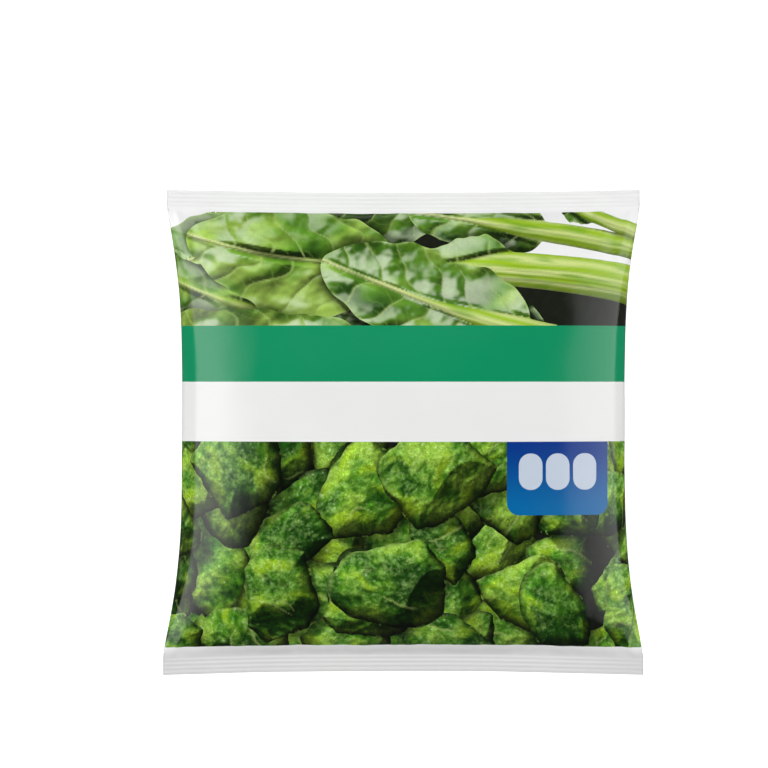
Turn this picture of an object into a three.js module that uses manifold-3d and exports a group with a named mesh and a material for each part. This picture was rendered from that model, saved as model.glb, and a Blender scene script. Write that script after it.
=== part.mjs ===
// A pillow bag of frozen chard portions, lying on its back.
// One web of printed film is wrapped into a tube, joined by a fin seal down the back,
// and closed by a ribbed seal at each end. Loose frozen portions fill it.
// Millimetres. X runs across the bag, Y towards its top seal, Z up. The bag rests on z = 0.
import * as THREE from "three";
import { mergeVertices } from "three/addons/utils/BufferGeometryUtils.js";
import Module from "manifold-3d";

const wasm = await Module();
wasm.setup();

// Driving dimensions of the bag
const HALF_LENGTH = 101.05;
const SEAL_DEPTH = 7;
const HALF_WAIST = 92;
const TOP_FLARE = { width: 6.4, power: 4.1 };
const BOTTOM_FLARE = { width: 8, power: 3.4 };
const FLARE_EASE = 1.4;
const FRONT_RISE = 26;
const BACK_DROP = 21;
const FRONT_ROUNDNESS = 2.2;
const BACK_ROUNDNESS = 3;
const FULLNESS = { power: 4, ease: 1.25 };
const FOLD_HEIGHT = 17;
const SEAL_DROOP = 4;
const SEAL_BOW = { top: 1.2, bottom: 1.7 };
const SEAL_WAVE = { height: 0.9, turn: 7.2, topStart: 0.6, bottomStart: 2.4 };
const END_POWER = 4;
const TABLE_BLEND = 1.5;
const FOOT = { across: 47, along: 45, clear: 0.35 };

// Film, its ribs and its fin
const WALL = 0.8;
const HALF_SEAL = 0.7;
const RIBS = 4;
const RIB_HEIGHT = 0.3;
const FIN_ROOT = -1;
const FIN_WIDTH = 13;
const FIN_THICKNESS = 0.8;
const FIN_GAP = 0.4;
const FIN_PROUD = 0.5;
const FIN_ROOT_WIDTH = 1.6;
const GROOVE_MARGIN = 1;
const GROOVE_EDGE = 0.7;
const GROOVE_FADE = 8;
const SPACE_MARGIN = 2;
const VENTS = [-40, -32, -24];
const VENT_ROW = 66;
const VENT_NEEDLE = { radius: 1, length: 12, sides: 8 };

// Print, as heights up the bag, and its colours
const PICTURE_TOP = 92.2;
const BAND_TOP = 44.2;
const BAND_BOTTOM = 21.1;
const PANEL_BOTTOM = -3.5;
const PICTURE_BOTTOM = -89.5;
const WHITE_FILM = 0xeeeeec;
const LEAF_GREEN = 0x7da548;
const BAND_GREEN = 0x17905f;
const PORTION_GREEN = 0x45732a;

// Frozen portions
const PORTION_HALF_SIZE = [23.5, 20.5, 12.4];
const LAYERS = [
  { height: 12.2, columns: [-61, -20.4, 20.4, 61], rows: [-55, -18.5, 18.5, 55] },
  { height: 31.2, columns: [-41, 0, 41], rows: [-38, 0, 38] },
];
const PORTION_GAP = 0.5;
const PORTION_DETAIL = 2;
const PORTION_SQUARENESS = 2.7;
const PORTION_SHIFT = { across: 3, along: 3, up: 1.2 };
const PORTION_TILT = 0.22;
const PORTION_TURN = 0.63;
const PORTION_SIZE_SPREAD = 0.08;
const PORTION_LUMPS = 0.045;
const FILM_MARGIN = { end: 5, side: 3.8, front: 1, back: FIN_THICKNESS + FIN_GAP + PORTION_GAP };
const FROZEN_LEAF = 0x3f7422;
const SEED = 7;

const INNER_HALF = HALF_LENGTH - SEAL_DEPTH;

// The shape of the bag

// From 0 in the middle of the bag to 1 at a seal and beyond it.
const towardsEnd = (y) => Math.min(1, Math.abs(y) / INNER_HALF);

// Half the bag's width at a height y up it: it flares from the waist and runs straight into the seals.
function halfWidth(y) {
  const flare = y > 0 ? TOP_FLARE : BOTTOM_FLARE;
  return HALF_WAIST + flare.width * (1 - (1 - towardsEnd(y) ** flare.power) ** FLARE_EASE);
}

// How full the bag is: 1 in the middle, tapering to 0 at the seals, which it meets in a soft curve.
function fullness(y) {
  const { power, ease } = FULLNESS;
  const inside = Math.max(0, INNER_HALF - Math.abs(y));
  const eased = inside < 2 * ease ? inside ** 2 / (4 * ease) : inside - ease;
  return 1 - (1 - eased / INNER_HALF) ** power;
}

// Height of the side folds and of the seals, which droop and wave a little.
function foldHeight(u, y) {
  const start = y > 0 ? SEAL_WAVE.topStart : SEAL_WAVE.bottomStart;
  const wave = SEAL_WAVE.height * Math.sin(SEAL_WAVE.turn * u + start);
  return FOLD_HEIGHT + towardsEnd(y) ** END_POWER * (wave - SEAL_DROOP);
}

// The height itself above TABLE_BLEND, and a smooth curve below it down to the table. The bag
// lies on the foot under its middle, and round the foot it stays just clear of the table.
function onTable(u, y, height) {
  const curve = Math.max(0, height + TABLE_BLEND) ** 2 / (4 * TABLE_BLEND);
  const raised = height > TABLE_BLEND ? height : curve;
  const onFoot = Math.abs(u) * HALF_WAIST < FOOT.across && Math.abs(y) < FOOT.along;
  return onFoot ? raised : Math.max(raised, FOOT.clear);
}

const frontProfile = (u) => Math.sqrt(1 - Math.abs(u) ** FRONT_ROUNDNESS);
const backProfile = (u) => Math.sqrt(1 - Math.abs(u) ** BACK_ROUNDNESS);

function frontHeight(u, y) {
  return foldHeight(u, y) + HALF_SEAL + FRONT_RISE * fullness(y) * frontProfile(u);
}

function backHeight(u, y) {
  return onTable(u, y, foldHeight(u, y) - HALF_SEAL - BACK_DROP * fullness(y) * backProfile(u));
}

// How far the film lifts over the fin that is folded flat beneath it.
function grooveDepth(x, y) {
  const across = x > FIN_ROOT - GROOVE_MARGIN && x < FIN_ROOT + FIN_WIDTH + GROOVE_MARGIN;
  return across ? (FIN_THICKNESS + FIN_GAP) * besideSeal(y) : 0;
}

// From 0 at a seal to 1 where the groove over the fin has its full depth.
function besideSeal(y) {
  return THREE.MathUtils.clamp((INNER_HALF - Math.abs(y)) / GROOVE_FADE, 0, 1);
}

// The seals bow towards the middle of the bag.
function bowed(u, y) {
  const bow = y > 0 ? SEAL_BOW.top : -SEAL_BOW.bottom;
  return y - bow * (1 - u * u) * towardsEnd(y) ** END_POWER;
}

// The grid that the film is drawn on

const SIDE_STEPS = 12;
const COLUMN_GAP = 2.8;

// Places across the bag, as shares of its half width, with lines along both sides of the groove.
function columns() {
  const even = [];
  for (let i = -SIDE_STEPS; i <= SIDE_STEPS; i++) even.push(Math.sin((i / SIDE_STEPS) * Math.PI / 2));
  const left = FIN_ROOT - GROOVE_MARGIN;
  const right = FIN_ROOT + FIN_WIDTH + GROOVE_MARGIN;
  const inside = 0.1;
  const edges = [left - GROOVE_EDGE, left + inside, right - inside, right + GROOVE_EDGE];
  const groove = edges.map((x) => x / HALF_WAIST);
  const gap = COLUMN_GAP / HALF_WAIST;
  const clear = even.filter((u) => u === 0 || groove.every((g) => Math.abs(g - u) > gap));
  return [...clear, ...groove].sort((a, b) => a - b);
}

// Distances inside a seal at which the film has a row of points.
const ROW_DISTANCES = [1, 2.5, 5, 9, 14, 20.5, 29, 39, 50, 62];

// Rows of points in the body, from a given distance inside one seal to the same inside the other.
function bodyRows(first) {
  const rows = ROW_DISTANCES.filter((d) => d >= first).map((d) => INNER_HALF - d);
  const bands = [BAND_BOTTOM, PANEL_BOTTOM];
  return [...rows.map((y) => -y), ...bands, ...rows].sort((a, b) => a - b);
}

// Rows in the body, then in the seals, where every other row is the crest of a rib.
function filmRows() {
  const rows = bodyRows(0).map((y) => ({ y, rib: 0 }));
  const steps = 2 * RIBS;
  for (let i = 0; i <= steps; i++) {
    const y = INNER_HALF + (SEAL_DEPTH * i) / steps;
    const rib = i === 0 ? 0 : i % 2 ? RIB_HEIGHT : -RIB_HEIGHT;
    rows.push({ y, rib }, { y: -y, rib });
  }
  return rows.sort((a, b) => a.y - b.y);
}

// A closed surface from an upper and a lower grid of points, with the same rows and columns.
function closedGeometry(upper, lower) {
  const positions = [];
  const triangle = (a, b, c) => {
    const flat = a.equals(b) || b.equals(c) || c.equals(a);
    if (!flat) positions.push(...a.toArray(), ...b.toArray(), ...c.toArray());
  };
  const quad = (a, b, c, d) => {
    triangle(a, b, c);
    triangle(a, c, d);
  };
  const lastRow = upper.length - 1;
  const lastColumn = upper[0].length - 1;
  for (let j = 0; j < lastRow; j++) {
    for (let i = 0; i < lastColumn; i++) {
      quad(upper[j][i], upper[j][i + 1], upper[j + 1][i + 1], upper[j + 1][i]);
      quad(lower[j][i], lower[j + 1][i], lower[j + 1][i + 1], lower[j][i + 1]);
    }
    quad(lower[j][0], upper[j][0], upper[j + 1][0], lower[j + 1][0]);
    quad(upper[j][lastColumn], lower[j][lastColumn], lower[j + 1][lastColumn], upper[j + 1][lastColumn]);
  }
  for (let i = 0; i < lastColumn; i++) {
    quad(lower[0][i], lower[0][i + 1], upper[0][i + 1], upper[0][i]);
    quad(lower[lastRow][i], upper[lastRow][i], upper[lastRow][i + 1], lower[lastRow][i + 1]);
  }
  const place = new THREE.Float32BufferAttribute(positions, 3);
  return new THREE.BufferGeometry().setAttribute("position", place);
}

// Solids and geometries

function solid(geometry) {
  const bare = geometry.clone();
  bare.deleteAttribute("normal");
  bare.deleteAttribute("uv");
  const merged = mergeVertices(bare, 1e-4);
  return new wasm.Manifold(
    new wasm.Mesh({
      numProp: 3,
      vertProperties: merged.attributes.position.array,
      triVerts: new Uint32Array(merged.index.array),
    }),
  );
}

function geometryOf(made) {
  const mesh = made.getMesh();
  const geometry = new THREE.BufferGeometry();
  geometry.setAttribute("position", new THREE.BufferAttribute(mesh.vertProperties, mesh.numProp));
  geometry.setIndex(new THREE.BufferAttribute(mesh.triVerts, 1));
  return geometry;
}

// The film: its outer form, less the space inside, with the fin and the needle vents

function outerFilm() {
  const across = columns();
  const rows = filmRows();
  const point = (u, y, z) => new THREE.Vector3(u * halfWidth(y), bowed(u, y), z);
  const upper = rows.map(({ y, rib }) => across.map((u) => point(u, y, frontHeight(u, y) + rib)));
  const lower = rows.map(({ y, rib }) =>
    across.map((u) => point(u, y, backHeight(u, y) + rib + grooveDepth(u * HALF_WAIST, y))),
  );
  return solid(closedGeometry(upper, lower));
}

// The same form taken in by the wall. It ends short of the seals, which are solid film.
function innerSpace() {
  const across = columns();
  const rows = bodyRows(SPACE_MARGIN);
  const point = (u, y, z) => new THREE.Vector3(u * (halfWidth(y) - WALL), bowed(u, y), z);
  const upper = rows.map((y) => across.map((u) => point(u, y, innerFront(u, y))));
  const lower = rows.map((y) =>
    across.map((u) => point(u, y, innerBack(u, y) + grooveDepth(u * HALF_WAIST, y) * backProfile(u))),
  );
  return solid(closedGeometry(upper, lower));
}

function innerFront(u, y) {
  const rise = FRONT_RISE * fullness(y) + HALF_SEAL - WALL;
  return foldHeight(u, y) + rise * frontProfile(u);
}

function innerBack(u, y) {
  const profile = backProfile(u);
  const height = foldHeight(u, y) - (BACK_DROP * fullness(y) + HALF_SEAL) * profile;
  return onTable(u, y, height) + WALL * Math.min(1, 3 * profile);
}

// The joined edges of the web, folded flat against the back from seal to seal.
function fin() {
  const steps = 5;
  const rows = filmRows();
  const strip = (from, width, low, high) => {
    const across = Array.from({ length: steps + 1 }, (_, i) => from + (width * i) / steps);
    const at = (x, y, lift) => {
      const u = x / HALF_WAIST;
      const proud = FIN_PROUD * (1 - besideSeal(y));
      return new THREE.Vector3(u * halfWidth(y), bowed(u, y), backHeight(u, y) - proud + lift);
    };
    const grid = (lift) => rows.map(({ y }) => across.map((x) => at(x, y, lift)));
    return solid(closedGeometry(grid(high), grid(low)));
  };
  const flap = strip(FIN_ROOT, FIN_WIDTH, 0, FIN_THICKNESS);
  const root = strip(FIN_ROOT, FIN_ROOT_WIDTH, FIN_THICKNESS / 2, FIN_THICKNESS + FIN_GAP + WALL / 2);
  return flap.add(root);
}

function ventNeedle(x) {
  const { radius, length, sides } = VENT_NEEDLE;
  const needle = new THREE.CylinderGeometry(radius, radius, length, sides);
  needle.rotateX(Math.PI / 2);
  needle.translate(x, VENT_ROW, backHeight(x / HALF_WAIST, VENT_ROW));
  return solid(needle);
}

// The print's colour at a place on the film.
function printColour(y) {
  if (y > PICTURE_TOP || y < PICTURE_BOTTOM) return new THREE.Color(WHITE_FILM);
  if (y > BAND_TOP) return new THREE.Color(LEAF_GREEN);
  if (y > BAND_BOTTOM) return new THREE.Color(BAND_GREEN);
  if (y > PANEL_BOTTOM) return new THREE.Color(WHITE_FILM);
  return new THREE.Color(PORTION_GREEN);
}

function filmMesh() {
  let film = outerFilm().subtract(innerSpace()).add(fin());
  for (const x of VENTS) film = film.subtract(ventNeedle(x));
  const geometry = geometryOf(film).toNonIndexed();
  const place = geometry.attributes.position;
  const colours = [];
  for (let i = 0; i < place.count; i += 3) {
    const middle = (place.getY(i) + place.getY(i + 1) + place.getY(i + 2)) / 3;
    const colour = printColour(middle).toArray();
    colours.push(...colour, ...colour, ...colour);
  }
  geometry.setAttribute("color", new THREE.Float32BufferAttribute(colours, 3));
  geometry.computeVertexNormals();
  const printedFilm = new THREE.MeshStandardMaterial({ vertexColors: true, roughness: 0.22, metalness: 0 });
  const mesh = new THREE.Mesh(geometry, printedFilm);
  mesh.name = "film_bag";
  return mesh;
}

// The frozen portions: blocks pressed flat where they meet their neighbours and the film

function seededRandom(seed) {
  let state = seed;
  return () => {
    state = (Math.imul(state, 1664525) + 1013904223) >>> 0;
    return state / 4294967296;
  };
}

const random = seededRandom(SEED);
const spread = (amount) => (random() * 2 - 1) * amount;

function portionCentres() {
  const centres = [];
  for (const { height, columns: xs, rows: ys } of LAYERS) {
    for (const y of ys) {
      for (const x of xs) {
        const { across, along, up } = PORTION_SHIFT;
        centres.push(new THREE.Vector3(x + spread(across), y + spread(along), height + spread(up)));
      }
    }
  }
  return centres;
}

// True if a point lies inside the film, clear of it.
function insideFilm(point) {
  const y = point.y;
  const u = point.x / halfWidth(y);
  if (Math.abs(y) > INNER_HALF - FILM_MARGIN.end) return false;
  if (Math.abs(point.x) > halfWidth(y) - FILM_MARGIN.side) return false;
  return point.z > innerBack(u, y) + FILM_MARGIN.back && point.z < innerFront(u, y) - FILM_MARGIN.front;
}

// The share of a ray from one centre that stays on its side of the plane between it and another.
function shareBeforeNeighbour(centre, ray, neighbour) {
  const between = neighbour.clone().sub(centre);
  const distance = between.length();
  const towards = ray.dot(between) / distance;
  return towards > 0 ? Math.min(1, (distance / 2 - PORTION_GAP / 2) / towards) : 1;
}

// Distance from the middle of a rounded, slightly lumpy block to its surface in one direction.
function blockRadius(way, phases) {
  const [a, b, c] = PORTION_HALF_SIZE;
  const n = PORTION_SQUARENESS;
  const sum = Math.abs(way.x / a) ** n + Math.abs(way.y / b) ** n + Math.abs(way.z / c) ** n;
  const flat = Math.sin(4 * way.x + phases[0]) * Math.sin(5 * way.y + phases[1]);
  const upright = Math.sin(6 * way.z + 4 * way.x + phases[2]);
  return sum ** (-1 / n) * (1 + PORTION_LUMPS * (flat + upright));
}

const SMALLEST_SHARE = 0.1;
const SHARE_STEP = 0.97;

function portionMesh(centre, others, number) {
  const turn = new THREE.Euler(spread(PORTION_TILT), spread(PORTION_TILT), spread(PORTION_TURN));
  const size = 1 + spread(PORTION_SIZE_SPREAD);
  const phases = [spread(Math.PI), spread(Math.PI), spread(Math.PI)];
  const geometry = mergeVertices(bareSphere(), 1e-4);
  const place = geometry.attributes.position;
  for (let i = 0; i < place.count; i++) {
    const way = new THREE.Vector3().fromBufferAttribute(place, i).normalize();
    const ray = way.clone().multiplyScalar(size * blockRadius(way, phases)).applyEuler(turn);
    let share = 1;
    for (const other of others) share = Math.min(share, shareBeforeNeighbour(centre, ray, other));
    const point = centre.clone().addScaledVector(ray, share);
    while (!insideFilm(point) && share > SMALLEST_SHARE) {
      share *= SHARE_STEP;
      point.copy(centre).addScaledVector(ray, share);
    }
    place.setXYZ(i, ray.x * share, ray.y * share, ray.z * share);
  }
  geometry.computeVertexNormals();
  const frozenLeaf = new THREE.MeshStandardMaterial({ color: FROZEN_LEAF, roughness: 0.75, metalness: 0 });
  const mesh = new THREE.Mesh(geometry, frozenLeaf);
  mesh.name = "frozen_portion_" + String(number).padStart(2, "0");
  mesh.position.copy(centre);
  return mesh;
}

function bareSphere() {
  const sphere = new THREE.IcosahedronGeometry(1, PORTION_DETAIL);
  sphere.deleteAttribute("normal");
  sphere.deleteAttribute("uv");
  return sphere;
}

// The whole bag

const bag = new THREE.Group();
bag.add(filmMesh());

const contents = new THREE.Group();
const centres = portionCentres();
centres.forEach((centre, i) => {
  const others = centres.filter((other) => other !== centre);
  contents.add(portionMesh(centre, others, i + 1));
});
bag.add(contents);

export default bag;
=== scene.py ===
"""A pillow bag of frozen chard portions, lying on its back and seen from straight above.

The film is laid out flat first, as one web. On the web, s runs across in millimetres, from 0 in
the middle of the front to 200 at the fin down the back, and t runs up the bag. The print's
outlines are edges of that flat mesh, which is then wrapped into the pillow.
"""

import math

import bpy
import numpy as np
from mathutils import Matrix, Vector, geometry


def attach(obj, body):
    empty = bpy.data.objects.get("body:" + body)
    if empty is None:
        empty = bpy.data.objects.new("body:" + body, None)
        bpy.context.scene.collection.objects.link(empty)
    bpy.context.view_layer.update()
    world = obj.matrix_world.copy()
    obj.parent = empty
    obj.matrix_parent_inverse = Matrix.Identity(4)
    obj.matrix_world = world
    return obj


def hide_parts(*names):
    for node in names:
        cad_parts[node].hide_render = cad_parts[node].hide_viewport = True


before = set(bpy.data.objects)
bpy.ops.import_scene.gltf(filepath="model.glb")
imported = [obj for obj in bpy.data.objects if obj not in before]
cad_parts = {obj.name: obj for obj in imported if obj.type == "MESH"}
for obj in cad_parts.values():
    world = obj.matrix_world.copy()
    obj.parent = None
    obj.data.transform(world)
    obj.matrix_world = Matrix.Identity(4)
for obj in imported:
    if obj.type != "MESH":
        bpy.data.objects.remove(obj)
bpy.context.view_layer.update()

MM = 0.001
TURN = 2 * math.pi

# The bag's form, in millimetres, as the frame has it
HALF_LENGTH = 101.05
SEAL_DEPTH = 7.0
INNER_HALF = HALF_LENGTH - SEAL_DEPTH
HALF_WAIST = 92.0
TOP_FLARE = (6.4, 4.1)
BOTTOM_FLARE = (8.0, 3.4)
FLARE_EASE = 1.4
FRONT_RISE = 26.0
BACK_DROP = 21.0
FRONT_ROUNDNESS = 2.2
BACK_ROUNDNESS = 3.0
FULLNESS_POWER = 4
FULLNESS_EASE = 1.25
FOLD_HEIGHT = 17.0
SEAL_DROOP = 4.0
SEAL_HEIGHT = FOLD_HEIGHT - SEAL_DROOP
SEAL_BOWS = (1.2, -1.7)
SEAL_WAVE = 0.9
SEAL_WAVE_TURN = 7.2
SEAL_WAVE_STARTS = (0.6, 2.4)
END_POWER = 4
TABLE_BLEND = 1.5
FOOT_ACROSS = 46.0
FOOT_ALONG = 44.0
FOOT_CLEAR = 0.35
FOOT_EASE = 9.0
HALF_SEAL = 0.45
RIB_PITCH = SEAL_DEPTH / 4
RIB_HEIGHTS = (0.11, 0.07)

# The fin, folded flat under the back
FIN_WIDTH = 13.0
FIN_THICKNESS = 0.8
FIN_LIFT = 1.2
FIN_PROUD = 0.5
FIN_TURN = 1.2
LEFT_ROOT = -1.0
RIGHT_ROOT = 0.6
GROOVE_END = 13.0
GROOVE_EDGE = 0.9
GROOVE_FADE = 8.0
VENTS = (-40.0, -32.0, -24.0)
VENT_ROW = 66.0
VENT_RADIUS = 1.0
VENT_DEPTH = 1.4

# The web and the print on it
FRONT_HALF = 100.0
WEB_HALF = 200.0
LEFT_EDGE = -WEB_HALF - FIN_WIDTH
RIGHT_EDGE = WEB_HALF + LEFT_ROOT + FIN_WIDTH - RIGHT_ROOT
PRINT_EDGE = 104.0
PICTURE_TOP = 92.2
BAND_TOP = 44.2
BAND_BOTTOM = 21.1
PANEL_BOTTOM = -3.5
PICTURE_BOTTOM = -89.5
# How far the bottom seal's painted shade fades up into the bare strip, in millimetres
BOTTOM_SHADE_FADE = 4.5
PICTURE_STEP = 0.7
BAND_STEP = 1.7
BACK_STEP = 2.8
SEAL_ROWS = 29
NORMAL_STEP = 0.05
NEAR_LINE = 0.42
OUTLINE_STEP = 0.8
MARK_STEP = 0.7
UV_SPAN = 430
SAME_PLACE = 1e-3
PORTION_PRINT, LEAF_PRINT, PLAIN_PRINT, BARE_FILM, VENT_DARK = range(5)
BARE_FROM = 0.7


def srgb(red, green, blue):
    """Screen values from 0 to 255 as the linear values that shaders use."""
    share = np.array([red, green, blue], float) / 255
    return np.where(share <= 0.04045, share / 12.92, ((share + 0.055) / 1.055) ** 2.4)


FILM_WHITE = srgb(243, 244, 243)
TOP_SEAL_WHITE = srgb(239, 240, 239)
# The bottom seal's grey is painted shade: it is the same film as the top seal, darker because it faces
# down, away from the key light
BOTTOM_SEAL_SHADED = srgb(218, 219, 218)
PANEL_WHITE = srgb(235, 236, 234)
BAND_GREEN = srgb(6, 143, 95)
BACK_GREEN = srgb(58, 128, 62)
TAB_TOP = srgb(2, 53, 135)
TAB_BOTTOM = srgb(0, 103, 164)
CAPSULE = srgb(195, 206, 221)
GAP_DARK = srgb(16, 20, 12)


# Smooth noise: a shuffled row of numbers and a row of directions

rng = np.random.default_rng(11)
SHUFFLED, DIRECTIONS = rng.permutation(256), rng.uniform(0, TURN, 256)


def noise(x, y, seed=0):
    """Smooth noise from about -1 to 1, with features about one unit across."""
    column, row = np.floor(x).astype(int), np.floor(y).astype(int)
    fx, fy = x - column, y - row
    ease_x = fx * fx * fx * (fx * (fx * 6 - 15) + 10)
    ease_y = fy * fy * fy * (fy * (fy * 6 - 15) + 10)

    def corner(i, j):
        number = SHUFFLED[(SHUFFLED[(column + i + 31 * seed) & 255] + row + j + 57 * seed) & 255]
        angle = DIRECTIONS[number]
        return np.cos(angle) * (fx - i) + np.sin(angle) * (fy - j)

    low = corner(0, 0) * (1 - ease_x) + corner(1, 0) * ease_x
    high = corner(0, 1) * (1 - ease_x) + corner(1, 1) * ease_x
    return 1.5 * (low * (1 - ease_y) + high * ease_y)


def layered(x, y, seed=0, octaves=3):
    """Noise in layers, each half as large and half as strong as the one before."""
    total = np.zeros_like(x)
    for k in range(octaves):
        total += noise(x * 2**k, y * 2**k, seed + k) * 0.5**k
    return total


def ridged(x, y, seed=0, octaves=3):
    """Layered noise folded at zero: narrow ridges and broad hollows, from 0 to about 1."""
    total = np.zeros_like(x)
    for k in range(octaves):
        total += (1 - np.minimum(1, 1.6 * np.abs(noise(x * 2**k, y * 2**k, seed + k)))) * 0.5**k
    return total / (2 - 0.5 ** (octaves - 1))


def smooth(low, high, value):
    """0 below low, 1 above high and a smooth step between."""
    share = np.clip((value - low) / (high - low), 0, 1)
    return share * share * (3 - 2 * share)


def mix(a, b, share):
    """Colour a where share is 0 and colour b where it is 1."""
    share = np.asarray(share)[..., None]
    return np.asarray(a) * (1 - share) + np.asarray(b) * share


# The wrapped form


def unit(rows):
    return rows / np.maximum(np.linalg.norm(rows, axis=1, keepdims=True), 1e-9)


def towards_end(t):
    return np.minimum(1.0, np.abs(t) / INNER_HALF)


def half_width(t):
    width, power = (np.where(t > 0, a, b) for a, b in zip(TOP_FLARE, BOTTOM_FLARE))
    return HALF_WAIST + width * (1 - (1 - towards_end(t) ** power) ** FLARE_EASE)


def fullness(t):
    inside = np.maximum(0, INNER_HALF - np.abs(t))
    curve = inside**2 / (4 * FULLNESS_EASE)
    eased = np.where(inside < 2 * FULLNESS_EASE, curve, inside - FULLNESS_EASE)
    return 1 - (1 - eased / INNER_HALF) ** FULLNESS_POWER


def fold_height(u, t):
    wave = SEAL_WAVE * np.sin(SEAL_WAVE_TURN * u + np.where(t > 0, *SEAL_WAVE_STARTS))
    return FOLD_HEIGHT + towards_end(t) ** END_POWER * (wave - SEAL_DROOP)


def on_table(u, t, height):
    """A height eased down to the table, and kept just clear of it round the foot."""
    curve = np.maximum(0, height + TABLE_BLEND) ** 2 / (4 * TABLE_BLEND)
    raised = np.where(height > TABLE_BLEND, height, curve)
    off_foot = np.maximum(np.abs(u) * HALF_WAIST - FOOT_ACROSS, np.abs(t) - FOOT_ALONG)
    return np.maximum(raised, FOOT_CLEAR * smooth(0, FOOT_EASE, off_foot))


def profile(u, roundness):
    return np.sqrt(np.maximum(0, 1 - np.abs(u) ** roundness))


def front_height(u, t):
    rise = FRONT_RISE * fullness(t) + HALF_SEAL
    return fold_height(u, t) + rise * profile(u, FRONT_ROUNDNESS)


def back_height(u, t):
    drop = BACK_DROP * fullness(t) + HALF_SEAL
    return on_table(u, t, fold_height(u, t) - drop * profile(u, BACK_ROUNDNESS))


ROWS = np.linspace(-HALF_LENGTH, HALF_LENGTH, 161)
SHARES = np.linspace(0, 1, 301)


def share_table(height):
    """How far across each share of the film's own length lies, for each row up the bag."""
    u = np.sin(np.linspace(0, math.pi / 2, 400))
    table = []
    for t in ROWS:
        x, z = u * half_width(t), height(u, np.full_like(u, t))
        length = np.concatenate([[0], np.cumsum(np.hypot(np.diff(x), np.diff(z)))])
        table.append(np.interp(SHARES, length / length[-1], u))
    return np.array(table)


FRONT_TABLE = share_table(front_height)
BACK_TABLE = share_table(back_height)


def between(table, row, column):
    """A table's value between its rows and columns."""
    row, column = (np.clip(k, 0, n - 1.001) for k, n in zip((row, column), table.shape))
    j, i = row.astype(int), column.astype(int)
    fj, fi = row - j, column - i
    low = table[j, i] * (1 - fi) + table[j, i + 1] * fi
    high = table[j + 1, i] * (1 - fi) + table[j + 1, i + 1] * fi
    return low * (1 - fj) + high * fj


def look_up(table, t, share):
    row = (t + HALF_LENGTH) / (2 * HALF_LENGTH) * (len(ROWS) - 1)
    return between(table, row, share * (len(SHARES) - 1))


def beside_seal(t):
    return np.clip((INNER_HALF - np.abs(t)) / GROOVE_FADE, 0, 1)


def ribs(t):
    """The crimp of the end seals: ridges across both layers of film."""
    depth = np.abs(t) - INNER_HALF
    wave = 0.5 - 0.5 * np.cos(TURN * depth / RIB_PITCH)
    height = np.where(t > 0, *RIB_HEIGHTS)
    return np.where(depth > 0, height * (2 * wave - 1) * smooth(0, 1.0, depth), 0)


def wrapped(s, t):
    """Where points of the flat web lie in the bag, in millimetres, without creases."""
    side = np.where(s < 0, -1.0, 1.0)
    across = np.abs(s)
    width = half_width(t)
    front_u = side * look_up(FRONT_TABLE, t, np.minimum(across / FRONT_HALF, 1))
    back_u = look_up(BACK_TABLE, t, np.clip((WEB_HALF - across) / (WEB_HALF - FRONT_HALF), 0, 1))
    root = np.where(s < 0, LEFT_ROOT, RIGHT_ROOT)
    back_x = side * back_u * width + root * (1 - back_u)
    fin_x = root + (across - WEB_HALF)
    on_front = across <= FRONT_HALF
    on_fin = across > WEB_HALF
    x = np.where(on_front, front_u * width, np.where(on_fin, fin_x, back_x))
    u = x / width
    lift = np.where(x < GROOVE_END, 1 - smooth(GROOVE_END - GROOVE_EDGE, GROOVE_END, x), 0)
    over_fin = np.where(s > 0, FIN_LIFT * beside_seal(t) * lift, 0)
    back_z = back_height(u, t) + over_fin
    depth = FIN_THICKNESS * (0.5 + 0.5 * beside_seal(t))
    thickness = np.where(s > 0, depth * np.sqrt(np.clip((RIGHT_EDGE - s) / FIN_TURN, 0, 1)), 0)
    turned = smooth(0, FIN_TURN, across - WEB_HALF)
    under = FIN_PROUD * (1 - beside_seal(t))
    flap_z = back_height(u, t) - under * turned + thickness
    joined = np.where(s > 0, back_z * (1 - turned) + flap_z * turned, flap_z)
    z = np.where(on_front, front_height(u, t), np.where(on_fin, joined, back_z)) + ribs(t)
    y = t - np.where(t > 0, *SEAL_BOWS) * (1 - u * u) * towards_end(t) ** END_POWER
    return np.stack([x, y, z], -1)


def creases(s, t):
    """How far the film stands in or out of the plain form, in millimetres."""
    inside = INNER_HALF - np.abs(t)
    fade = smooth(0, 3, inside)
    upper = t > 0
    near = np.exp(-np.maximum(inside, 0) / 17)
    pleats = noise(s / 9 + np.where(upper, 3.7, 41.3), t / 46, 3) + 0.5 * noise(s / 4.5, t / 30, 5)
    swell = layered(s / 34, t / 30, 7, 2) * (1 - 0.65 * smooth(70, 98, np.abs(s)))
    made = fade * (0.3 * near * pleats + 0.34 * swell)
    for sign_s in (-1, 1):
        for sign_t, reach, height in ((1, 30.0, 0.5), (-1, 16.0, 0.3)):
            along = np.clip(inside / reach, 0, 1)
            line = sign_s * (96.5 - 7.5 * along)
            off = (s - line) * sign_s
            ridge = np.exp(-((off / 1.5) ** 2)) - 0.9 * np.exp(-(((off + 4.0) / 3.2) ** 2))
            strength = smooth(0, 0.12, along) * (1 - smooth(0.45, 1, along))
            made = made + height * ridge * np.where(t * sign_t > 0, strength, 0)
    return np.where(np.abs(s) > 108, -0.35 * np.abs(made), made) * (np.abs(s) < 180)


def film_points(s, t):
    """Where points of the web lie in the finished bag, in millimetres."""
    plain = wrapped(s, t)
    along_s = wrapped(s + NORMAL_STEP, t) - wrapped(s - NORMAL_STEP, t)
    along_t = wrapped(s, t + NORMAL_STEP) - wrapped(s, t - NORMAL_STEP)
    made = plain + unit(np.cross(along_s, along_t)) * creases(s, t)[:, None]
    for x in VENTS:
        from_vent = np.hypot(s + WEB_HALF - abs(x), t - VENT_ROW)
        made[:, 2] += VENT_DEPTH * (1 - smooth(0.7 * VENT_RADIUS, VENT_RADIUS, from_vent))
    made[:, 2] = np.maximum(made[:, 2], 0)
    return made


# Shapes of the print


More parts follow.
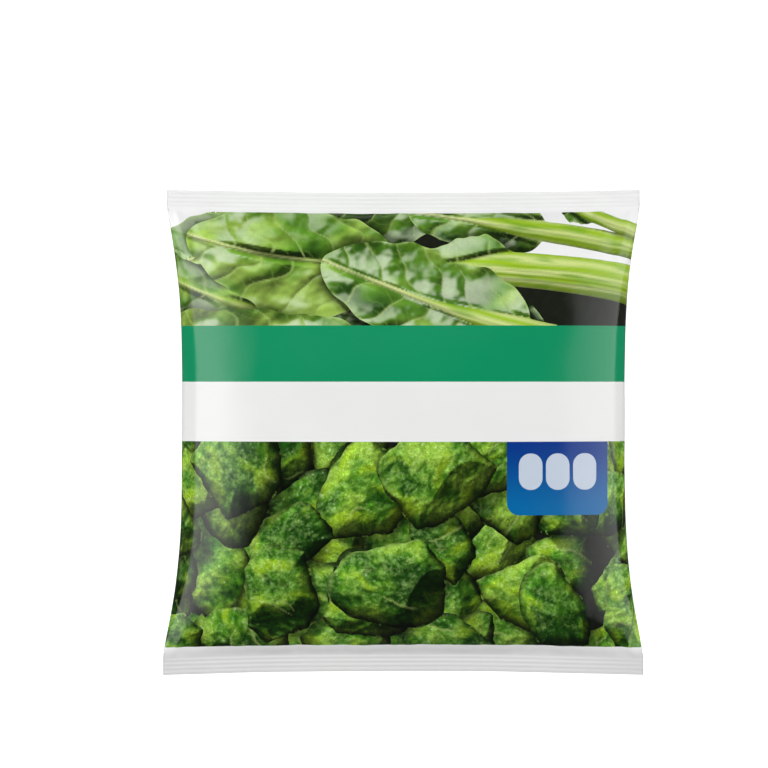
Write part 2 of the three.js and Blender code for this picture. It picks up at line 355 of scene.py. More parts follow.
def within(points, outline):
    """Which points lie inside a closed outline."""
    low, high = outline.min(0), outline.max(0)
    near = np.all((points >= low) & (points <= high), axis=1)
    found = np.zeros(len(points), bool)
    x, y = points[near, 0][:, None], points[near, 1][:, None]
    x0, y0 = outline[:, 0], outline[:, 1]
    x1, y1 = np.roll(x0, -1), np.roll(y0, -1)
    rise = np.where(y1 == y0, 1e-12, y1 - y0)
    crossing = ((y0 > y) != (y1 > y)) & (x < (x1 - x0) * (y - y0) / rise + x0)
    found[near] = crossing.sum(1) % 2 == 1
    return found


def evenly(points, spacing):
    """A closed outline with its points spaced evenly."""
    closed = np.vstack([points, points[:1]])
    length = np.concatenate([[0], np.cumsum(np.hypot(*np.diff(closed, axis=0).T))])
    at = np.linspace(0, length[-1], max(8, int(length[-1] / spacing)), endpoint=False)
    return np.stack([np.interp(at, length, closed[:, k]) for k in (0, 1)], -1)


def rotated(points, angle):
    """Points turned back by an angle about the origin."""
    c, s = math.cos(angle), math.sin(angle)
    return points @ np.array([[c, -s], [s, c]])


LIGHT = np.array([-0.42, 0.62, 0.66])
LIGHT /= np.linalg.norm(LIGHT)
SLOPE_STEP = 0.3


def lit(height, points):
    """How strongly the picture's own light and its gloss show on a surface."""
    rises = [height(points + step) - height(points - step) for step in np.eye(2) * SLOPE_STEP]
    slope_s, slope_t = (rise / (2 * SLOPE_STEP) for rise in rises)
    normal = unit(np.stack([-slope_s, -slope_t, np.ones_like(slope_s)], -1))
    half = LIGHT + np.array([0, 0, 1])
    half /= np.linalg.norm(half)
    return np.maximum(0, normal @ LIGHT), np.maximum(0, normal @ half)


class Portion:
    """One frozen portion in the lower picture: a block of chopped leaf with flat facets."""

    def __init__(self, centre, radii, turn, level, seed):
        rng = np.random.default_rng(seed)
        self.centre, self.radii, self.turn = centre, np.array(radii), turn
        self.level, self.seed = level, seed % 97
        self.phases = rng.uniform(0, TURN, 4)
        self.cuts = [(rng.uniform(0, TURN), rng.uniform(0.68, 0.92)) for _ in range(5)]
        ranges = ((0, TURN), (0.5, 1.3), (0.22, 0.62))
        self.facets = [[rng.uniform(*pair) for pair in ranges] for _ in range(4)]
        self.paleness = rng.uniform(-0.45, 0.6)
        self.frost = rng.uniform(-0.3, 0.6)
        self.grain = rng.uniform(0, math.pi)
        ranges = ((-7, 7), (-11, 11), (-4, 4), (5, 12), (0.4, 0.9))
        count = int(rng.integers(0, 3))
        self.stem_lines = [[rng.uniform(*pair) for pair in ranges] for _ in range(count)]
        angle = np.linspace(0, TURN, 240, endpoint=False)
        reach = self.reach(angle)
        local = np.stack([reach * f(angle) * r for f, r in zip((np.cos, np.sin), radii)], -1)
        self.outline = evenly(self.centre + rotated(local, -turn), OUTLINE_STEP)

    def reach(self, angle, rough=1.0):
        """Distance from the middle to the edge, as a share of the radii."""
        p = self.phases
        lumps = 0.07 * np.sin(2 * angle + p[0]) + 0.06 * np.sin(3 * angle + p[1])
        finest = np.sin(17 * angle + p[3] + 2 * np.sin(3 * angle))
        small = rough * (0.014 * np.sin(9 * angle + p[2]) + 0.012 * finest)
        reach = 1 + lumps + small
        for towards, distance in self.cuts:
            facing = np.cos(angle - towards)
            flat = distance / np.maximum(facing, 1e-3) + small
            reach = np.where(facing > 0.3, np.minimum(reach, flat), reach)
        return reach

    def local(self, points):
        return rotated(points - self.centre, self.turn) / self.radii

    def share(self, points):
        """0 in the middle and 1 at the edge."""
        x, y = self.local(points).T
        return np.hypot(x, y) / self.reach(np.arctan2(y, x))

    def surface(self, points):
        """The height of the block itself, without the leaf's relief."""
        x, y = self.local(points).T
        share = np.minimum(1, np.hypot(x, y) / self.reach(np.arctan2(y, x), 0.0))
        size = min(self.radii)
        dome = 0.8 * np.sqrt(np.maximum(0, 1 - share**3.2))
        for towards, steepness, start in self.facets:
            out = x * math.cos(towards) + y * math.sin(towards)
            dome = np.minimum(dome, 0.8 - steepness * (out - start))
        return self.level + size * dome

    def turned(self, points):
        """Places along and across the portion's leaf fibres, in millimetres."""
        return rotated(points - self.centre, self.grain).T

    def texture(self, points):
        """Broad clouds, folds, mottling, thin threads and a fine grain."""
        along, across = self.turned(points)
        seed = self.seed
        sway = 2.2 * noise(along / 8, across / 8, seed)
        cloud = layered(along / 15, (across + sway) / 11, seed + 1, 3)
        folds = ridged(along / 12, (across + sway) / 6, seed + 4, 2)
        mottle = layered((along + sway) / 3.1, (across - sway) / 2.3, seed + 6, 3)
        threads = 7 * np.abs(noise((along - sway) / 7, (across + sway) / 3, seed + 9))
        curls = 5 * np.abs(noise((along + sway) / 2.3, (across + sway) / 1.8, seed + 14))
        threads = np.maximum(np.maximum(0, 1 - threads), 0.8 * np.maximum(0, 1 - curls))
        threads = threads * smooth(-0.2, 0.5, noise(along / 5, across / 6, seed + 16))
        fine = layered(along / 1.15, across / 0.95, seed + 10, 2)
        return cloud, folds, mottle, threads, fine, sway

    def height(self, points):
        cloud, folds, mottle, threads, fine, _ = self.texture(points)
        relief = 0.9 * cloud + 0.5 * folds + 0.1 * mottle + 0.05 * threads + 0.06 * fine
        return self.surface(points) + relief

    def stems(self, points):
        """Where thin stems and veins show in the chopped leaf, from 0 to 1."""
        along, across = self.turned(points)
        shown = np.zeros(len(points))
        for start, offset, bend, long, wide in self.stem_lines:
            run = (along - start) / long
            off = across - offset - bend * run**2 - 0.5 * noise(along / 4, across / 9, self.seed)
            thin = wide * np.sqrt(np.maximum(0, 1 - run**2))
            shown = np.maximum(shown, 1 - smooth(0.35, 1.0, np.abs(off) / np.maximum(thin, 1e-3)))
        return shown

    def colours(self, points, shadow):
        share = self.share(points)
        light, _ = lit(self.height, points)
        cloud, _, mottle, threads, fine, sway = self.texture(points)
        along, across = self.turned(points)
        patch = 1.1 * cloud + 0.3 * mottle + self.paleness
        base = mix(srgb(28, 76, 8), srgb(70, 126, 24), smooth(-0.8, 0.1, patch))
        base = mix(base, srgb(136, 176, 56), smooth(-0.1, 0.9, patch))
        piece = smooth(0.08, 0.5, noise(along / 12, (across + sway) / 7, self.seed + 12))
        base = mix(base, srgb(144, 180, 30), 0.75 * piece * smooth(-0.6, 0.2, patch))
        base = base * (1 + (0.36 - 0.2 * piece) * mottle + 0.3 * fine)[:, None]
        made = base * (0.12 + 1.34 * light**1.25)[:, None]
        bloom = smooth(-0.6, 0.7, noise(along / 12, across / 12, self.seed + 13) + self.frost)
        frost = bloom * smooth(-0.4, 0.8, mottle + fine) * smooth(0.3, 0.85, light)
        made = mix(made, srgb(150, 184, 108), 0.42 * frost)
        shown = threads * smooth(0.3, 0.8, light) * (1 - 0.7 * piece)
        made = mix(made, srgb(170, 200, 106), 0.4 * shown)
        sparkle = smooth(0.5, 1.1, noise(along / 0.9, across / 0.9, self.seed + 15) + 0.4 * mottle)
        made = mix(made, srgb(214, 228, 190), 0.55 * sparkle * smooth(0.35, 0.9, light))
        stem = srgb(170, 196, 104) * (0.25 + 0.85 * light)[:, None]
        made = mix(made, stem, 0.7 * self.stems(points))
        lip = smooth(0.92, 0.985, share) * smooth(0.4, 0.8, light)
        made = mix(made, srgb(160, 190, 100), 0.45 * lip)
        edge = smooth(0.8, 1.0, share) * (1 - smooth(0.2, 0.6, light))
        return made * (1 - 0.75 * edge)[:, None] * shadow[:, None]


class Leaf:
    """One chard leaf in the upper picture: its pale stalk runs on as the blade's midrib."""

    def __init__(self, line, stalk, blade_from, width, level, tone, seed):
        rng = np.random.default_rng(seed)
        a, b, c = (np.array(p, float) for p in line)
        k = np.linspace(0, 1, 70)[:, None]
        self.line = a * (1 - k) ** 2 + 2 * b * k * (1 - k) + c * k**2
        step = np.diff(self.line, axis=0)
        self.length = np.concatenate([[0], np.cumsum(np.hypot(*step.T))])
        self.stalk, self.blade_from, self.width = stalk, blade_from, width
        self.level, self.tone, self.seed = level, tone, seed % 89
        self.phases = rng.uniform(0, TURN, 6)
        self.vein_gap = rng.uniform(13, 17)
        self.sheen = rng.uniform(-0.3, 0.4)
        u = np.concatenate([np.linspace(0, 1, 260), np.linspace(1, 0, 260)[1:-1]])
        side = np.where(np.arange(len(u)) < 260, 1.0, -1.0)
        self.outline = evenly(self.place(u, side * self.edge(u, side)), OUTLINE_STEP)

    def place(self, u, v):
        """The point a share u along the midrib and v millimetres to its left."""
        at = u * self.length[-1]

        def on_line(at):
            return np.stack([np.interp(at, self.length, line) for line in self.line.T], -1)

        way = unit(on_line(at + 0.5) - on_line(at - 0.5))
        return on_line(at) + np.stack([-way[:, 1], way[:, 0]], -1) * np.asarray(v)[:, None]

    def rib(self, u):
        """Half the width of the stalk, which narrows into the midrib."""
        narrowing = 1 - 0.84 * smooth(self.blade_from, self.blade_from + 0.35, u)
        return self.stalk * (1 - 0.25 * u) * narrowing * (1 - 0.75 * smooth(0.7, 1, u)) + 0.12

    def edge(self, u, side):
        """How far the leaf reaches to one side of its midrib."""
        k = np.clip((u - self.blade_from) / (1 - self.blade_from), 0, 1)
        blade = self.width * np.sin(math.pi * k**0.8) ** 0.55
        p = self.phases
        crimp = 0.1 * np.sin(9 * k + side * p[0]) + 0.05 * np.sin(21 * k + side * p[1] + p[2])
        crimp = crimp + 0.025 * np.sin(47 * k + side * p[3])
        end = np.sqrt(np.clip((1 - u) / 0.02, 0, 1))
        return np.maximum(self.rib(u) * end, blade * (1 + crimp))

    def local(self, points):
        """Share along the midrib and distance to its left, for each point."""
        a, b = self.line[:-1], self.line[1:]
        span = b - a
        size = (span**2).sum(1)
        u, v = np.empty(len(points)), np.empty(len(points))
        for start in range(0, len(points), 8000):
            part = points[start : start + 8000]
            off = part[:, None] - a
            share = np.clip((off * span).sum(2) / size, 0, 1)
            foot = off - share[..., None] * span
            nearest = (foot**2).sum(2).argmin(1)
            row = np.arange(len(part))
            way, gap = span[nearest], foot[row, nearest]
            turned = way[:, 0] * gap[:, 1] - way[:, 1] * gap[:, 0]
            v[start : start + 8000] = np.sign(turned) * np.hypot(*gap.T)
            along = self.length[nearest] + share[row, nearest] * np.sqrt(size[nearest])
            u[start : start + 8000] = along / self.length[-1]
        return u, v

    def veins(self, u, v):
        """Distance to the nearest side vein and branch vein, and how near the middle of the field
        between two side veins a point is, from 0 to 1."""
        across = np.abs(v)
        k = (u - self.blade_from) * self.length[-1]
        sway = 0.35 * noise(across / 9 + 3 * np.sign(v), k / 18, self.seed)
        lean = 0.75 * across + 0.012 * across**2
        bent = (k - lean) / self.vein_gap + sway + 0.37 * np.sign(v)
        off = np.abs(bent - np.round(bent))
        branch = (k * 0.4 + np.sign(v) * across) / 5.5 + 0.9 * noise(v / 8, k / 9, self.seed + 1)
        fork = np.abs(branch - np.round(branch))
        return off * self.vein_gap * 0.8, fork * 5.5, 2 * off

    def height(self, points):
        u, v = self.local(points)
        x, y = points.T
        field = self.veins(u, v)[2]
        rib = self.rib(u)
        on_blade = smooth(0, 2.5, np.abs(v) - rib)
        puff = 0.9 * np.sin(0.5 * math.pi * np.minimum(1, field)) ** 0.8
        swell = 2.6 * layered(x / 24, y / 17, self.seed + 2, 2)
        swell = swell + 0.5 * layered(x / 7, y / 6, self.seed + 4, 2)
        fold = 3.6 * np.sin(u * 8 + self.phases[4] + 0.07 * v)
        fold = fold + 2.6 * np.sin(u * 4.4 - 0.12 * v + self.phases[5])
        stalk = 1.1 * rib * np.sqrt(np.maximum(0, 1 - (v / np.maximum(rib, 0.3)) ** 2))
        grooves = 0.16 * np.cos(v * 3.4 + noise(u * 12, v / 2, self.seed) * 0.8)
        return self.level + on_blade * (puff + swell + fold) + (1 - on_blade) * (stalk + grooves)

    surface = height

    def colours(self, points, shadow):
        u, v = self.local(points)
        x, y = points.T
        light, gloss = lit(self.height, points)
        side_vein, branch, _ = self.veins(u, v)
        on_stalk = 1 - smooth(-0.1, 0.5, np.abs(v) - self.rib(u))
        patch = layered(x / 26, y / 16, self.seed + 3, 3) + self.tone
        blade = mix(srgb(44, 86, 24), srgb(98, 152, 40), smooth(-0.9, 0.2, patch))
        blade = mix(blade, srgb(164, 200, 84), smooth(0.0, 0.9, patch))
        blade = blade * (0.12 + 1.24 * light**1.15)[:, None]
        fade = 1 - 0.6 * np.minimum(1, np.abs(v) / self.width)
        veined = fade * (1 - smooth(0.15, 0.75, side_vein))
        blade = mix(blade, srgb(186, 212, 120) * 0.9, 0.6 * veined)
        blade = mix(blade, srgb(150, 190, 86) * 0.9, 0.18 * (1 - smooth(0.1, 0.6, branch)))
        dull = smooth(-0.7, 0.6, layered(x / 30, y / 14, self.seed + 5, 2) + self.sheen)
        gleam = smooth(0.8, 0.97, gloss) * dull
        blade = mix(blade, srgb(206, 220, 188), 0.74 * gleam)
        blade = blade * (1 + 0.07 * layered(x / 2.2, y / 1.8, self.seed + 8, 2))[:, None]
        streak = 0.5 + 0.5 * np.cos(v * 1.35 + 1.8 * noise(u * 4, v / 5, self.seed + 6))
        stalk = mix(srgb(150, 188, 34), srgb(222, 230, 160), streak * (0.4 + 0.6 * u))
        greener = smooth(0.1, 0.8, layered(u * 6, v / 3, self.seed + 7, 2))
        stalk = mix(stalk, srgb(106, 160, 30), 0.6 * greener)
        stalk = stalk * (0.44 + 0.7 * light)[:, None]
        made = mix(blade, stalk, on_stalk)
        edge = smooth(-1.0, -0.1, np.abs(v) - self.edge(u, np.sign(v)))
        made = mix(made, srgb(186, 212, 128), 0.5 * edge * (1 - on_stalk) * smooth(0.3, 0.7, light))
        return made * shadow[:, None]


def heap():
    """The lower picture's portions, from the deepest to the topmost."""
    rng = np.random.default_rng(2031)
    made = []
    layers = ((42, 19.5, 0.0, 23.0), (15, 35.0, 8.0, 23.0), (9, 46.0, 15.0, 26.0))
    ranges = ((-108, 108), (PICTURE_BOTTOM - 4, PANEL_BOTTOM + 4))
    for count, apart, level, longest in layers:
        placed = []
        for _ in range(4000):
            spot = np.array([rng.uniform(*pair) for pair in ranges])
            if all(np.hypot(*(spot - other)) > apart for other in placed):
                placed.append(spot)
            if len(placed) == count:
                break
        for spot in placed:
            long = longest * rng.uniform(0.76, 1.0)
            radii = (long, long * rng.uniform(0.68, 0.92))
            turn = rng.uniform(0, math.pi)
            raised = level + rng.uniform(0, 3)
            made.append(Portion(spot, radii, turn, raised, int(rng.integers(1, 10**6))))
    return made


def leaves():
    """The upper picture's leaves, from the deepest to the topmost."""
    rows = (
        ((40, 100), (-14, 104), (-70, 84), 2.4, 0.1, 22, 0, -0.5),
        ((-52, 92), (-84, 76), (-116, 56), 2.6, 0.1, 16, 0, 0.3),
        ((-56, 48), (-90, 60), (-124, 72), 2.4, 0.1, 12, 1, 0.1),
        ((-24, 12), (-70, 28), (-112, 38), 2.6, 0.1, 20, 1, -0.5),
        ((118, 73), (64, 84), (2, 93), 5.0, 0.5, 14, 2, -0.2),
        ((118, 30), (48, 44), (-30, 50), 4.6, 0.4, 19, 3, -0.7),
        ((4, 70), (-50, 68), (-92, 83), 3.2, 0.08, 24, 5, 0.5),
        ((120, 77), (88, 86), (66, 97), 3.4, 0.7, 6, 6, 0.2),
        ((122, 56), (70, 69), (4, 69), 8.6, 0.62, 13, 8, 0.1),
        ((4, 20), (-52, 38), (-120, 35), 3.0, 0.1, 19, 10, 0.35),
        ((104, 34), (46, 36), (-34, 72), 5.6, 0.37, 22, 12, 0.0),
    )
    made = []
    for number, (*line, stalk, blade_from, width, level, tone) in enumerate(rows):
        made.append(Leaf(line, stalk, blade_from, width, level * 1.5, tone, 300 + 7 * number))
    return made


PICTURES = (
    {"shapes": leaves(), "low": BAND_TOP, "high": PICTURE_TOP, "depth": 5.5},
    {"shapes": heap(), "low": PICTURE_BOTTOM, "high": PANEL_BOTTOM, "depth": 9.0},
)
RASTER = 0.6
MARGIN = 6.0


def blurred(grid, radius):
    """A grid blurred by a soft round brush, its radius given in cells."""
    reach = int(3 * radius)
    weights = np.exp(-0.5 * (np.arange(-reach, reach + 1) / radius) ** 2)
    weights /= weights.sum()
    padded = np.pad(grid, reach, mode="edge")
    rows = sum(w * padded[:, k : k + grid.shape[1]] for k, w in enumerate(weights))
    return sum(w * rows[k : k + grid.shape[0]] for k, w in enumerate(weights))


def survey(picture):
    """A coarse height map of a picture's heap, for its shadows."""
    s = np.arange(-PRINT_EDGE - MARGIN, PRINT_EDGE + MARGIN, RASTER)
    t = np.arange(picture["low"] - MARGIN, picture["high"] + MARGIN, RASTER)
    grid = np.stack(np.meshgrid(s, t), -1).reshape(-1, 2)
    height = np.full(len(grid), -7.0)
    for shape in picture["shapes"]:
        found = within(grid, shape.outline)
        height[found] = shape.surface(grid[found])
    height = height.reshape(len(t), len(s))
    picture["corner"] = (s[0], t[0])
    picture["height"] = blurred(height, 1.0)
    picture["around"] = blurred(height, 5.0)


def sample(picture, name, points):
    """One of a picture's maps, read at any points."""
    column, row = ((points - picture["corner"]) / RASTER).T
    return between(picture[name], row, column)


def shadows(picture, points, height):
    """How much of the picture's light reaches points at a height in its heap."""
    hollow = np.clip((sample(picture, "around", points) - height) / picture["depth"], 0, 1)
    blocked = np.zeros(len(points))
    for reach in (1.5, 3.0, 5.0, 8.0, 12.0):
        towards = points + LIGHT[:2] / np.hypot(*LIGHT[:2]) * reach
        over = sample(picture, "height", towards) - height - 0.8 * reach
        blocked = np.maximum(blocked, np.clip(over / 4, 0, 1))
    return (1 - 0.75 * hollow) * (1 - 0.62 * blocked)


for picture in PICTURES:
    survey(picture)


# The blue tab that hangs from the white panel, with three blank pale capsules


def rounded(s0, t0, s1, t1, radius, square_top=False):
    """The outline of a rectangle with round corners."""
    made = []
    for s, t, start in ((s1, t1, 0), (s0, t1, 90), (s0, t0, 180), (s1, t0, 270)):
        if square_top and t == t1:
            made.append((s, t))
            continue
        cs = s - radius if s == s1 else s + radius
        ct = t - radius if t == t1 else t + radius
        for angle in np.radians(np.linspace(start, start + 90, 9)):
            made.append((cs + radius * math.cos(angle), ct + radius * math.sin(angle)))
    return np.array(made)


def web_s(x, t):
    """The place across the flat web of a point seen straight from above."""
    row = np.abs(ROWS - t).argmin()
    u = abs(x) / half_width(np.array(t))
    return math.copysign(np.interp(u, FRONT_TABLE[row], SHARES) * FRONT_HALF, x)


TAB = rounded(web_s(42.3, -18), -33.7, web_s(84.2, -18), PANEL_BOTTOM, 5.0, square_top=True)
CAPSULES = [
    rounded(web_s(x0, -16), -23.3, web_s(x1, -16), -8.3, 4.8)
    for x0, x1 in ((47.2, 57.0), (58.4, 68.2), (69.7, 79.4))
]
BACK_PANEL = rounded(-183, -78, -123, -14, 5.0)


# The flat web as one triangle mesh


def lattice(s0, s1, t0, t1, step, step_t=None):
    """A staggered lattice of points that fills a rectangle, edges included."""
    rows = max(1, round((t1 - t0) / (step_t or step * 0.866)))
    columns = max(1, round((s1 - s0) / step))
    made = []
    for j in range(rows + 1):
        shift = 0.5 if j % 2 and step_t is None else 0.0
        inner = [s0 + (s1 - s0) * (i + shift) / columns for i in range(columns + (shift == 0))]
        row = inner if shift == 0 else [s0, *inner, s1]
        made.extend((s, t0 + (t1 - t0) * j / rows) for s in row)
    return made


def seal_columns():
    """Places of the seals' points across the web: closer together by the side folds."""
    made = [LEFT_EDGE]
    runs = [(LEFT_EDGE + FIN_TURN, 0.4), (-WEB_HALF - FIN_TURN, 2.4), (-WEB_HALF, 0.4)]
    runs += [(-PRINT_EDGE, 2.4), (4 - FRONT_HALF, 0.5), (FRONT_HALF - 4, 2.4), (PRINT_EDGE, 0.5)]
    runs += [(WEB_HALF, 2.4), (WEB_HALF + FIN_TURN, 0.4)]
    for end, step in runs + [(RIGHT_EDGE - FIN_TURN, 2.4), (RIGHT_EDGE, 0.4)]:
        count = math.ceil((end - made[-1]) / step)
        made.extend(np.linspace(made[-1], end, count + 1)[1:])
    return made


SEAL_COLUMNS = seal_columns()


def fin_lines():
    """Lines up the web that follow the film beside the fin and round its edges."""
    t = np.linspace(-INNER_HALF + 1, INNER_HALF - 1, 187)
    made = []
    for x in np.linspace(GROOVE_END - 1.1 * GROOVE_EDGE, GROOVE_END + 0.1, 6):
        s = np.linspace(WEB_HALF - 20, WEB_HALF - 6, 300)
        places = [float(np.interp(-x, -wrapped(s, np.full_like(s, row))[:, 0], s)) for row in t]
        made.append(np.stack([places, t], -1))
    bends = [(-WEB_HALF, WEB_HALF, -FIN_TURN, (0.3, 0.6, 1.0))]
    bends.append((LEFT_EDGE, RIGHT_EDGE, FIN_TURN, (0.06, 0.25, 0.6, 1.0)))
    for left, right, turn, shares in bends:
        for share in shares:
            for s in (left + share * turn, right - share * turn):
                made.append(np.stack([np.full_like(t, s), t], -1))
    return made


def visible_edges(picture):
    """The outline segments of a picture's shapes that no shape above them hides."""
    made = []
    for number, shape in enumerate(picture["shapes"]):
        a, b = shape.outline, np.roll(shape.outline, -1, axis=0)
        middle = (a + b) / 2
        s, t = middle.T
        shown = (np.abs(s) < PRINT_EDGE - 0.4) & (t > picture["low"] + 0.4)
        shown &= t < picture["high"] - 0.4
        for above in picture["shapes"][number + 1 :]:
            shown &= ~within(middle, above.outline)
        if picture["low"] == PICTURE_BOTTOM:
            shown &= ~within(middle, TAB)
        made.append((a[shown], b[shown]))
    return made


def flat_web():
    """The web's vertices and triangles, with every printed outline among its edges."""
    points, edges = [], []

    def add_line(line, closed=False):
        first = len(points)
        points.extend(map(tuple, line))
        edges.extend((first + k, first + k + 1) for k in range(len(line) - 1))
        if closed:
            edges.append((first + len(line) - 1, first))

    outlines = []
    for picture in PICTURES:
        for a, b in visible_edges(picture):
            outlines.append(a)
            for segment in zip(a, b):
                edges.append((len(points), len(points) + 1))
                points.extend(map(tuple, segment))
    rings = [evenly(shape, MARK_STEP) for shape in (TAB, *CAPSULES, BACK_PANEL)]
    angle = np.arange(0, 6.28, math.pi / 6)
    circle = np.stack([np.cos(angle), np.sin(angle)], -1)
    for x in VENTS:
        centre = (-(WEB_HALF - abs(x)), VENT_ROW)
        rings += [circle * (radius * VENT_RADIUS) + centre for radius in (0.35, 0.75, 1.0)]
    for line in rings:
        add_line(line, closed=True)
    for line in fin_lines():
        rings.append(line)
        add_line(line)

    def cell(s, t):
        return math.floor(s / NEAR_LINE), math.floor(t / NEAR_LINE)

    near = {cell(s, t) for line in (*outlines, *rings) for s, t in line}
    loose = []
    for low, high in ((BAND_TOP, PICTURE_TOP), (PICTURE_BOTTOM, PANEL_BOTTOM)):
        loose += lattice(-PRINT_EDGE, PRINT_EDGE, low, high, PICTURE_STEP)
    for low, high in ((PANEL_BOTTOM, BAND_BOTTOM), (BAND_BOTTOM, BAND_TOP)):
        loose += lattice(-PRINT_EDGE, PRINT_EDGE, low + 1.2, high - 1.2, BAND_STEP)
        for s0, s1 in ((-PRINT_EDGE, -92), (92, PRINT_EDGE)):
            loose += lattice(s0, s1, low + 1, high - 1, 0.9)
    for low, high in ((-INNER_HALF, PICTURE_BOTTOM), (PICTURE_TOP, INNER_HALF)):
        loose += lattice(-PRINT_EDGE, PRINT_EDGE, low + 0.3, high - 0.3, 1.0)
    for s0, s1 in ((-WEB_HALF, -PRINT_EDGE - 1.5), (PRINT_EDGE + 1.5, WEB_HALF)):
        loose += lattice(s0, s1, -INNER_HALF + 0.8, INNER_HALF - 0.8, BACK_STEP)
    for s0, s1 in ((LEFT_EDGE + 0.9, -WEB_HALF - 0.8), (WEB_HALF + 0.5, RIGHT_EDGE - 0.5)):
        loose += lattice(s0, s1, -INNER_HALF + 1.5, INNER_HALF - 1.5, 1.0, 3.0)
    for depth in np.linspace(0, SEAL_DEPTH, SEAL_ROWS)[1:-1]:
        loose += [(s, side * (INNER_HALF + depth)) for s in SEAL_COLUMNS for side in (-1, 1)]
    for s, t in loose:
        i, j = cell(s, t)
        if not any((i + di, j + dj) in near for di in (-1, 0, 1) for dj in (-1, 0, 1)):
            points.append((s, t))
    for t in (PICTURE_BOTTOM, PANEL_BOTTOM, BAND_BOTTOM, BAND_TOP, PICTURE_TOP):
        add_line([(s, t) for s in np.linspace(LEFT_EDGE, RIGHT_EDGE, 425)])
    for s in (-WEB_HALF, -PRINT_EDGE, -FRONT_HALF, FRONT_HALF, PRINT_EDGE, WEB_HALF):
        add_line([(s, t) for t in np.linspace(-INNER_HALF, INNER_HALF, 188)])
    for s in (LEFT_EDGE, RIGHT_EDGE):
        add_line([(s, t) for t in np.linspace(-HALF_LENGTH, HALF_LENGTH, 203)])
    for t in (-HALF_LENGTH, -INNER_HALF, INNER_HALF, HALF_LENGTH):
        add_line([(s, t) for s in SEAL_COLUMNS])
    flat, _, faces, *_ = geometry.delaunay_2d_cdt([Vector(p) for p in points], edges, [], 0, 1e-4)
    return np.array([tuple(p) for p in flat]), np.array(faces)


web, triangles = flat_web()

# The print's colours, one for each corner of each triangle, with painted shade on the bottom seal and
# the bare strip above it


def ground(picture, points):
    """What shows between the shapes: near black, and white in the upper picture's corners."""
    s, t = points.T
    flecks = 1 + 0.5 * layered(s / 3, t / 3, 21, 2)
    dark = GAP_DARK * flecks[:, None]
    if picture["low"] == PICTURE_BOTTOM:
        return dark
    right = smooth(40, 44, s) * smooth(-1.5, 1.5, t - 66 + 0.16 * (s - 44))
    left = smooth(-1.5, 1.5, t - 80 - 0.4 * (s + 88))
    return mix(mix(dark, srgb(40, 46, 32), 0.2), FILM_WHITE, np.maximum(right, left))


def paint_picture(picture, chosen, corners):
    """Colour the chosen triangles' corners as the topmost shape there."""
    middle = web[triangles[chosen]].mean(1)
    top = np.full(len(middle), -1)
    for number, shape in enumerate(picture["shapes"]):
        top[within(middle, shape.outline)] = number
    for number in range(-1, len(picture["shapes"])):
        faces = chosen[top == number]
        if not len(faces):
            continue
        used, places = np.unique(triangles[faces], return_inverse=True)
        points = web[used]
        colours = ground(picture, points)
        if number >= 0:
            shape = picture["shapes"][number]
            colours = shape.colours(points, shadows(picture, points, shape.surface(points)))
        corners[faces] = colours[places.reshape(-1)].reshape(-1, 3, 3)


def paint():
    """Corner colours and material numbers of the whole web."""
    middle = web[triangles].mean(1)
    s, t = middle.T
    corners = np.empty((len(triangles), 3, 3))
    corners[:] = BACK_GREEN
    material = np.full(len(triangles), PLAIN_PRINT)
    corners[(t < BAND_TOP) & (t > BAND_BOTTOM)] = BAND_GREEN
    corners[(t < BAND_BOTTOM) & (t > PANEL_BOTTOM)] = PANEL_WHITE
    bare = (t > PICTURE_TOP) | (t < PICTURE_BOTTOM)
    corners[bare] = FILM_WHITE
    # Painted shade: the bare strip above the bottom seal darkens towards the seal, and the seal itself
    # is painted darker
    lower = bare & (t < 0)
    from_seal = web[triangles[lower]][..., 1] + INNER_HALF
    corners[lower] = mix(BOTTOM_SEAL_SHADED, FILM_WHITE, smooth(0, BOTTOM_SHADE_FADE, from_seal))
    corners[t > INNER_HALF] = TOP_SEAL_WHITE
    corners[t < -INNER_HALF] = BOTTOM_SEAL_SHADED
    material[bare] = BARE_FILM
    for picture in PICTURES:
        chosen = np.flatnonzero((t > picture["low"]) & (t < picture["high"]) & (np.abs(s) < PRINT_EDGE))
        paint_picture(picture, chosen, corners)
        material[chosen] = PORTION_PRINT if picture["low"] == PICTURE_BOTTOM else LEAF_PRINT
        material[chosen[corners[chosen].min(axis=(1, 2)) > BARE_FROM]] = BARE_FILM
    tab = within(middle, TAB)
    fade = smooth(TAB[:, 1].min(), TAB[:, 1].max(), web[triangles[tab]][..., 1])
    corners[tab] = mix(TAB_BOTTOM, TAB_TOP, fade)
    material[tab] = PLAIN_PRINT
    for capsule in CAPSULES:
        corners[within(middle, capsule)] = CAPSULE
    corners[within(middle, BACK_PANEL)] = PANEL_WHITE
    for x in VENTS:
        material[np.hypot(s + WEB_HALF - abs(x), t - VENT_ROW) < 0.8 * VENT_RADIUS] = VENT_DARK
    return corners, material


# Materials


